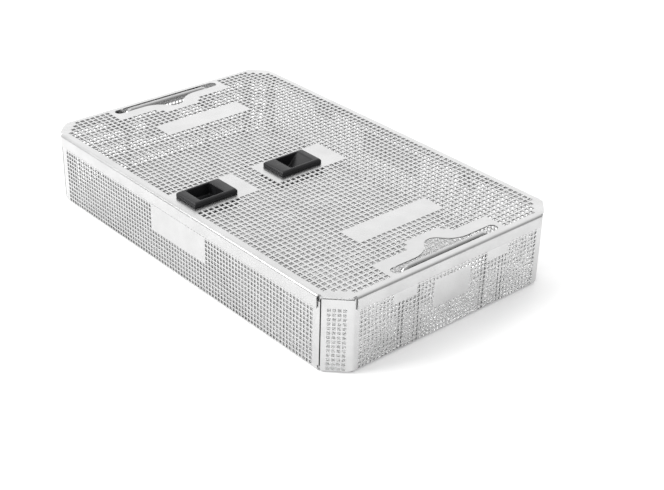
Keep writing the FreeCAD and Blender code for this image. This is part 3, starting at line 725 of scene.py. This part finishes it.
def grip_shape(size):
    """A grip with its toe at y = 0, its heel towards +Y, and its flange's underside at z = 0.

    Rings of a rectangle with round corners, lofted: under the cup, up its outside, out under the
    flange, up and over the flange's edge, and down into the cup, whose toe side is a ramp.
    """
    soft = size.grip_fillet / MM
    half, length, top, chamfer = GRIP_WIDTH / 2, GRIP_LENGTH, GRIP_HEIGHT, 1.5
    toe, cup, cup_half, wall, deep, floor, ramp = 7.5, 25.2, 10.5, 1.5, -8.0, 1.5, 10.0
    outer_corner, inner_corner, floor_bend = 1.2, 1.6, 1.4
    rings = []

    def outer_cup(inset, z):
        rings.append(soft_rectangle(cup_half + wall - inset, toe - wall + inset,
                                    toe + cup + wall - inset, outer_corner, z))

    def flange(inset, z):
        rings.append(soft_rectangle(half - inset, inset, length - inset, outer_corner, z))

    def hollow(inset, z):
        lean = ramp * (top - z) / (top - deep - floor)
        rings.append(soft_rectangle(cup_half - inset, toe + lean + inset, toe + cup - inset,
                                    inner_corner, z))

    for inset, z in ((0.8, deep), (0.25, deep + 0.25), (0.0, deep + 0.8), (0.0, 0.0)):
        outer_cup(inset, z)
    # The rings of the flange: an inset and a height, and how many fillets further in and up
    shoulder = top - chamfer
    for inset, z, fillets_in, fillets_up in (
            (0.0, 0.0, 0.4, 0.0), (0.0, 0.0, 0.0, 0.4), (0.0, shoulder, 0.0, -0.5),
            (0.0, shoulder, 0.06, -0.2), (0.0, shoulder, 0.2, 0.15), (chamfer, top, -0.6, -0.5),
            (chamfer, top, -0.1, -0.15), (chamfer, top, 0.5, 0.0)):
        flange(inset + fillets_in * soft, z + fillets_up * soft)
    for angle in np.linspace(0, QUARTER, 5):
        hollow(-soft * (1 - math.sin(angle)), top - soft * (1 - math.cos(angle)))
    for angle in np.linspace(0, QUARTER, 6):
        rise = floor_bend * (1 - math.sin(angle))
        hollow(floor_bend * (1 - math.cos(angle)), deep + floor + rise)
    return loft(rings)


def moved(part, y, z):
    """The part shifted along Y and Z."""
    points, faces = part
    return points + (0.0, y, z), faces


def blister(radius, height):
    """A low round swelling, seen from above: a shallow dome on a short rim."""
    angle = full_turn(20)
    rings = [np.stack([radius * np.cos(angle), radius * np.sin(angle), 0 * angle - 0.1], -1)]
    for share in np.linspace(1, 0.12, 5):
        rings.append(np.stack([radius * share * np.cos(angle), radius * share * np.sin(angle),
                               0 * angle + height * (1 - share * share)], -1))
    return loft(rings)


def on_face(part, origin, along, normal):
    """A part drawn on the XY plane, laid on a face: its X goes along, its Z along the normal."""
    points, faces = part
    along, normal = np.array(along, float), np.array(normal, float)
    basis = np.stack([along, np.cross(normal, along), normal])
    return points @ basis + np.array(origin, float), faces


class Nodes:
    """A material's node tree, with short calls that add and join its nodes."""

    def __init__(self, name):
        self.material = bpy.data.materials.new(name)
        self.material.use_nodes = True
        self.tree = self.material.node_tree
        self.shader = self.tree.nodes["Principled BSDF"]
        self.place = self.add("ShaderNodeTexCoord").outputs["Object"]

    def add(self, kind, **values):
        node = self.tree.nodes.new(kind)
        for key, value in values.items():
            setattr(node, key, value)
        return node

    def join(self, source, target):
        self.tree.links.new(source, target)

    def noise(self, scale, detail, stretch=None):
        node = self.add("ShaderNodeTexNoise")
        node.inputs["Scale"].default_value = scale
        node.inputs["Detail"].default_value = detail
        if stretch:
            mapping = self.add("ShaderNodeMapping")
            mapping.inputs["Scale"].default_value = stretch
            self.join(self.place, mapping.inputs["Vector"])
            self.join(mapping.outputs["Vector"], node.inputs["Vector"])
        else:
            self.join(self.place, node.inputs["Vector"])
        return node.outputs["Fac"]

    def spread(self, value, low, high):
        """A noise, most of which lies between 0.3 and 0.7, spread from low to high."""
        node = self.add("ShaderNodeMapRange")
        for key, number in (("From Min", 0.3), ("From Max", 0.7), ("To Min", low),
                            ("To Max", high)):
            node.inputs[key].default_value = number
        self.join(value, node.inputs["Value"])
        return node.outputs["Result"]

    def tint(self, value, dark, light):
        node = self.add("ShaderNodeMix", data_type="RGBA")
        node.inputs["A"].default_value = (*dark, 1)
        node.inputs["B"].default_value = (*light, 1)
        self.join(value, node.inputs["Factor"])
        self.join(node.outputs["Result"], self.shader.inputs["Base Color"])

    def bump(self, value, strength, distance, below=None):
        node = self.add("ShaderNodeBump")
        node.inputs["Strength"].default_value = strength
        node.inputs["Distance"].default_value = distance
        self.join(value, node.inputs["Height"])
        if below is not None:
            self.join(below, node.inputs["Normal"])
        return node.outputs["Normal"]


def steel(name, colour, roughness, cloud=55.0, ripple=0.07, grain=None):
    """Electropolished steel: cloudy reflections, a faint ripple and a very fine grain."""
    nodes = Nodes(name)
    clouds = nodes.noise(cloud, detail=4.0)
    broad = nodes.noise(cloud * 0.22, detail=2.0)
    fine = nodes.noise(1400.0, detail=2.0, stretch=grain)
    nodes.tint(nodes.spread(clouds, 0.0, 1.0), dark=[c * 0.95 for c in colour],
               light=[min(1.0, c * 1.05) for c in colour])
    nodes.join(nodes.spread(broad, roughness * 0.82, roughness * 1.22),
               nodes.shader.inputs["Roughness"])
    rippled = nodes.bump(broad, strength=ripple, distance=0.0012)
    nodes.join(nodes.bump(fine, strength=0.06, distance=0.00004, below=rippled),
               nodes.shader.inputs["Normal"])
    nodes.shader.inputs["Metallic"].default_value = 1.0
    return nodes.material


def moulded_plastic(name, colour):
    """Black moulded plastic: satin, with a fine spark-eroded grain and slightly worn gloss."""
    nodes = Nodes(name)
    grain = nodes.noise(2600.0, detail=2.0)
    wear = nodes.noise(120.0, detail=4.0)
    nodes.tint(nodes.spread(wear, 0.0, 1.0), dark=[c * 0.8 for c in colour],
               light=[c * 1.35 for c in colour])
    nodes.join(nodes.spread(wear, 0.36, 0.5), nodes.shader.inputs["Roughness"])
    nodes.join(nodes.bump(grain, strength=0.25, distance=0.00008), nodes.shader.inputs["Normal"])
    nodes.shader.inputs["Specular IOR Level"].default_value = 0.35
    return nodes.material


def finish(name):
    """The material of that name, made when it is first asked for."""
    held = bpy.data.materials.get(name)
    if held:
        return held
    looks = bpy.context.scene.basket_finishes
    if name == "grip_black_plastic":
        return moulded_plastic(name, looks.grip_black)
    settings = {
        "lid_electropolished": dict(colour=looks.lid_steel, roughness=looks.lid_polish),
        "wall_electropolished": dict(colour=looks.wall_steel, roughness=looks.wall_polish,
                                     cloud=48.0),
        # Its colour, lighter than the other steel, is painted light that brightens the inside seen
        # through the holes
        "bottom_satin_painted_light": dict(colour=looks.bottom_steel_painted_light, roughness=0.4, cloud=48.0),
        "wire_polished": dict(colour=looks.wire_steel, roughness=0.16, cloud=130.0, ripple=0.05),
        "bracket_stainless": dict(colour=[c * 0.9 for c in looks.wall_steel], roughness=0.34,
                                  cloud=80.0, ripple=0.08),
        # Near-black painted shade that darkens the deep gaps of the corner seams
        "seam_painted_shade": dict(colour=(0.03, 0.03, 0.03), roughness=0.55, cloud=400.0),
        "fixing_turned": dict(colour=[c * 0.85 for c in looks.wall_steel], roughness=0.27,
                              cloud=300.0, ripple=0.04, grain=(1, 1, 12)),
    }
    return steel(name, **settings[name])


class BASKET_OT_lid(bpy.types.Operator):
    """Make the lid's sheet with all its holes, skirts, slots and tongues"""

    bl_idname = "basket.lid"
    bl_label = "Lid sheet"

    def execute(self, context):
        piece("lid_perforated", lid_shape(context.scene.basket_sizes),
              finish("lid_electropolished"), "lid", ["lid_sheet"])
        return {"FINISHED"}


class BASKET_OT_bottom(bpy.types.Operator):
    """Make the perforated bottom"""

    bl_idname = "basket.bottom"
    bl_label = "Bottom sheet"

    def execute(self, context):
        piece("bottom_perforated", bottom_shape(context.scene.basket_sizes),
              finish("bottom_satin_painted_light"), "basket", ["bottom_sheet"])
        return {"FINISHED"}


class BASKET_OT_walls(bpy.types.Operator):
    """Make the two long walls and the two short walls with their corner panels"""

    bl_idname = "basket.walls"
    bl_label = "Walls"

    def execute(self, context):
        size = context.scene.basket_sizes
        right = end_wall_shape(size)
        shapes = {"front_wall": long_wall_shape(size, False),
                  "back_wall": long_wall_shape(size, True),
                  "right_end_wall": right, "left_end_wall": mirror_x(right)}
        for node, shape in shapes.items():
            piece(node + "_perforated", shape, finish("wall_electropolished"), "basket",
                  [node])
        return {"FINISHED"}


class BASKET_OT_welds(bpy.types.Operator):
    """Make the spot welds of the corner seams"""

    bl_idname = "basket.welds"
    bl_label = "Spot welds"

    def execute(self, context):
        corner = np.array([BODY_DIAGONAL - FRONT_Y, -FRONT_Y, 0])
        along, normal = np.array([SLANT, SLANT, 0]), np.array([SLANT, -SLANT, 0])
        spots = [on_face(blister(*SPOT_WELD), corner + along * SPOT_INSET + (0, 0, z), along,
                         normal) for z in SPOT_LEVELS]
        half = merged(*spots)
        right = merged(half, mirror_y(half))
        piece("corner_spot_welds", merged(right, mirror_x(right)), finish("wall_electropolished"),
              "basket")
        return {"FINISHED"}


class BASKET_OT_seams(bpy.types.Operator):
    """Make the strips of painted shade in the gaps between the corner panels and the long walls"""

    bl_idname = "basket.seams"
    bl_label = "Corner seams"

    def execute(self, context):
        # Dark strips of painted shade in the four corner seams
        right = merged(seam_line(), mirror_y(seam_line()))
        piece("corner_seam_painted_shade", merged(right, mirror_x(right)), finish("seam_painted_shade"),
              "basket")
        return {"FINISHED"}


class BASKET_OT_handles(bpy.types.Operator):
    """Make the two handles of bent wire"""

    bl_idname = "basket.handles"
    bl_label = "Handles"

    def execute(self, context):
        right = handle_shape(context.scene.basket_sizes)
        for side, shape in (("right", right), ("left", mirror_x(right))):
            piece("handle_" + side + "_wire", shape, finish("wire_polished"), side + "_handle",
                  ["handle_" + side], sharp=40.0)
        return {"FINISHED"}


class BASKET_OT_grips(bpy.types.Operator):
    """Make the fixed grip and the sliding grip, which share one moulded shape"""

    bl_idname = "basket.grips"
    bl_label = "Grips"

    def execute(self, context):
        shape = grip_shape(context.scene.basket_sizes)
        plastic = finish("grip_black_plastic")
        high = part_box("fixed_grip")[1]
        fixed = moved(mirror_y(shape), high.y / MM, LID_TOP)
        piece("fixed_grip_moulding", fixed, plastic, "lid", ["fixed_grip"],
              sharp=35.0)
        low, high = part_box("latch_grip")
        sliding = moved(shape, low.y / MM, high.z / MM - GRIP_HEIGHT)
        piece("latch_grip_moulding", sliding, plastic, "latch", ["latch_grip"],
              sharp=35.0)
        return {"FINISHED"}


class BASKET_OT_finishes(bpy.types.Operator):
    """Give the brackets, rails, bolt, housing and fixings their finishes"""

    bl_idname = "basket.finishes"
    bl_label = "Finishes of the small pieces"

    def execute(self, context):
        finishes = {"bracket_stainless": ["guide_right_front", "guide_right_back",
                                          "guide_left_front", "guide_left_back",
                                          "latch_keeper", "latch_bolt"],
                    "grip_black_plastic": ["fixed_grip_housing", "latch_rail_right",
                                           "latch_rail_left"],
                    "fixing_turned": ["fixed_grip_screws", "latch_rivets"]}
        for name, nodes in finishes.items():
            for node in nodes:
                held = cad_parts[node].data.materials
                held.clear()
                held.append(finish(name))
        return {"FINISHED"}


class BASKET_OT_studio(bpy.types.Operator):
    """Set up the white floor, the soft lights and the camera"""

    bl_idname = "basket.studio"
    bl_label = "Studio"

    def execute(self, context):
        scene = context.scene
        self.floor(scene)
        self.sky(scene)
        for lamp in LAMPS:
            self.lamp(scene, *lamp)
        self.camera(scene)
        scene.view_settings.view_transform = "Standard"
        scene.view_settings.look = "None"
        return {"FINISHED"}

    def floor(self, scene):
        mesh = bpy.data.meshes.new("studio_floor")
        far = FLOOR_HALF
        mesh.from_pydata([(-far, -far, 0), (far, -far, 0), (far, far, 0), (-far, far, 0)], [],
                         [(0, 1, 2, 3)])
        nodes = Nodes("studio_paper")
        nodes.tint(nodes.noise(3.0, detail=2.0), dark=[0.93] * 3, light=[0.95] * 3)
        nodes.shader.inputs["Roughness"].default_value = 0.9
        nodes.shader.inputs["Emission Color"].default_value = (1, 1, 1, 1)
        nodes.shader.inputs["Emission Strength"].default_value = FLOOR_GLOW
        mesh.materials.append(nodes.material)
        made = bpy.data.objects.new("studio_floor", mesh)
        made.location.z = -FLOOR_DROP
        scene.collection.objects.link(made)

    def sky(self, scene):
        """The surroundings: a ramp over the height of a direction, times the patches.

        A patch multiplies the brightness by its own factor within a cone about its direction, and
        by a factor that goes smoothly to one between that cone and a wider one.
        """
        world = bpy.data.worlds.new("studio_sky")
        scene.world = world
        world.use_nodes = True
        nodes = world.node_tree.nodes
        links = world.node_tree.links
        background = nodes["Background"]
        place = nodes.new("ShaderNodeTexCoord").outputs["Generated"]
        split = nodes.new("ShaderNodeSeparateXYZ")
        ramp = nodes.new("ShaderNodeValToRGB")
        links.new(place, split.inputs["Vector"])
        links.new(split.outputs["Z"], ramp.inputs["Fac"])
        links.new(ramp.outputs["Color"], background.inputs["Color"])
        for element, height, grey in zip(ramp.color_ramp.elements, (0.0, 0.9), SKY_RAMP):
            element.position = height
            element.color = (grey, grey, grey, 1)
        strength = None
        for direction, factor, near, wide in SKY_PATCHES:
            dot = nodes.new("ShaderNodeVectorMath")
            dot.operation = "DOT_PRODUCT"
            dot.inputs[1].default_value = Vector(direction).normalized()
            links.new(place, dot.inputs[0])
            cone = nodes.new("ShaderNodeMapRange")
            cone.interpolation_type = "SMOOTHSTEP"
            for key, number in (("From Min", math.cos(math.radians(wide))),
                                ("From Max", math.cos(math.radians(near))),
                                ("To Min", 1.0), ("To Max", factor)):
                cone.inputs[key].default_value = number
            links.new(dot.outputs["Value"], cone.inputs["Value"])
            product = nodes.new("ShaderNodeMath")
            product.operation = "MULTIPLY"
            product.inputs[1].default_value = 1.0
            links.new(cone.outputs["Result"], product.inputs[0])
            if strength:
                links.new(strength, product.inputs[1])
            strength = product.outputs["Value"]
        links.new(strength, background.inputs["Strength"])

    def lamp(self, scene, name, location, size, power):
        data = bpy.data.lights.new(name, "AREA")
        data.shape = "RECTANGLE"
        data.size, data.size_y = size
        data.energy = power
        made = bpy.data.objects.new(name, data)
        made.location = location
        made.rotation_euler = (LAMP_AIM - Vector(location)).to_track_quat("-Z", "Y").to_euler()
        scene.collection.objects.link(made)

    def camera(self, scene):
        """The camera's place is a distance back from the object, less two shifts in its plane.

        The distances are in the fit's own unit, in which the lid is as long as stated here.
        """
        azimuth, elevation, roll = 0.836568, 0.514925, 0.0277739
        fitted_length = 403.95
        scale = 2 * LID_HALF[0] / fitted_length * MM
        distance, shift_x, shift_y = 1199.924 * scale, -37.4366 * scale, 11.2577 * scale
        back = Vector((math.sin(azimuth) * math.cos(elevation),
                       -math.cos(azimuth) * math.cos(elevation), math.sin(elevation)))
        right = Vector((math.cos(azimuth), math.sin(azimuth), 0))
        upward = back.cross(right)
        across = right * math.cos(roll) + upward * math.sin(roll)
        upright = upward * math.cos(roll) - right * math.sin(roll)
        data = bpy.data.cameras.new("studio_camera")
        data.lens = 71.5
        data.sensor_width = 36.0
        made = bpy.data.objects.new("studio_camera", data)
        turn = Matrix((across, upright, back)).transposed().to_4x4()
        made.matrix_world = Matrix.Translation(
            back * distance - across * shift_x - upright * shift_y) @ turn
        scene.collection.objects.link(made)
        scene.camera = made


STEPS = (BASKET_OT_lid, BASKET_OT_bottom, BASKET_OT_walls, BASKET_OT_welds, BASKET_OT_seams,
         BASKET_OT_handles, BASKET_OT_grips, BASKET_OT_finishes, BASKET_OT_studio)


class BASKET_PT_steps(bpy.types.Panel):
    """The steps that make the basket's looks, with its sizes and finishes"""

    bl_idname = "BASKET_PT_steps"
    bl_label = "Perforated basket"
    bl_space_type = "VIEW_3D"
    bl_region_type = "UI"
    bl_category = "Basket"

    def draw(self, context):
        for group in (context.scene.basket_sizes, context.scene.basket_finishes):
            for key in group.__annotations__:
                self.layout.prop(group, key)
        for step in STEPS:
            self.layout.operator(step.bl_idname)


CLASSES = (BasketSizes, BasketFinishes, *STEPS, BASKET_PT_steps)


def register():
    for one in CLASSES:
        bpy.utils.register_class(one)
    bpy.types.Scene.basket_sizes = bpy.props.PointerProperty(type=BasketSizes)
    bpy.types.Scene.basket_finishes = bpy.props.PointerProperty(type=BasketFinishes)


def unregister():
    del bpy.types.Scene.basket_finishes
    del bpy.types.Scene.basket_sizes
    for one in reversed(CLASSES):
        bpy.utils.unregister_class(one)


def main():
    register()
    bpy.ops.basket.lid()
    bpy.ops.basket.bottom()
    bpy.ops.basket.walls()
    bpy.ops.basket.welds()
    bpy.ops.basket.seams()
    bpy.ops.basket.handles()
    bpy.ops.basket.grips()
    bpy.ops.basket.finishes()
    bpy.ops.basket.studio()


if __name__ == "__main__":
    main()
